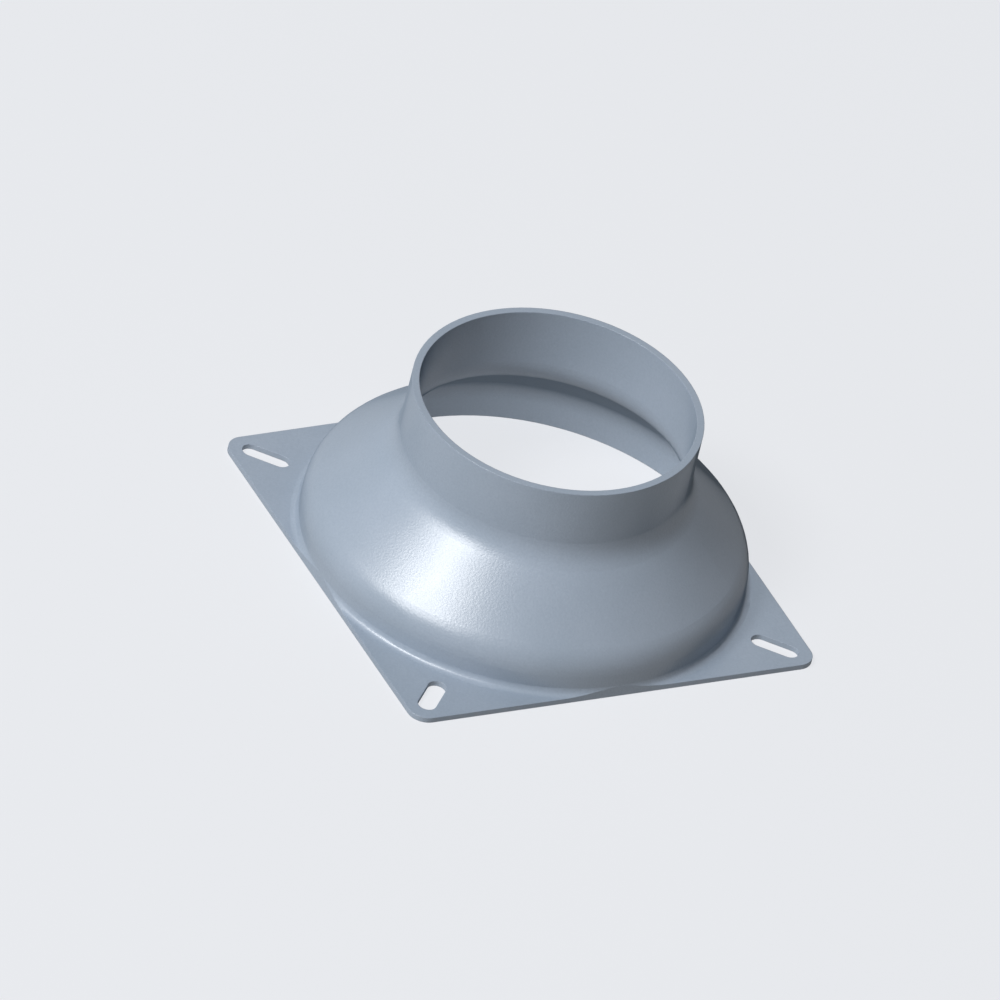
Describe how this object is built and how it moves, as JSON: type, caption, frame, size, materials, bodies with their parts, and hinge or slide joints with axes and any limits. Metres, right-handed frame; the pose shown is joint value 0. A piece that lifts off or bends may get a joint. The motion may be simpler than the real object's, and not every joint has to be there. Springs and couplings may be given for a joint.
{
  "type": "duct adapter",
  "caption": "Square-to-round duct adapter: thin square flange with diagonal fixing slots, a domed cone body and a round hose spigot, open right through.",
  "frame": {"origin": "middle of the flange's underside, on the duct's axis", "axes": "+Z along the duct's axis, out of the spigot; +X and +Y point at two corners of the square flange, so that every diagonal fixing slot runs along X or Y. The flange's sides lie at 45 degrees to X and Y."},
  "size_m": [0.1656, 0.1656, 0.0522],
  "materials": {
    "moulded_plastic": "satin"
  },
  "bodies": {
    "root": {"duct_adapter": "moulded_plastic"}
  },
  "joints": []
}
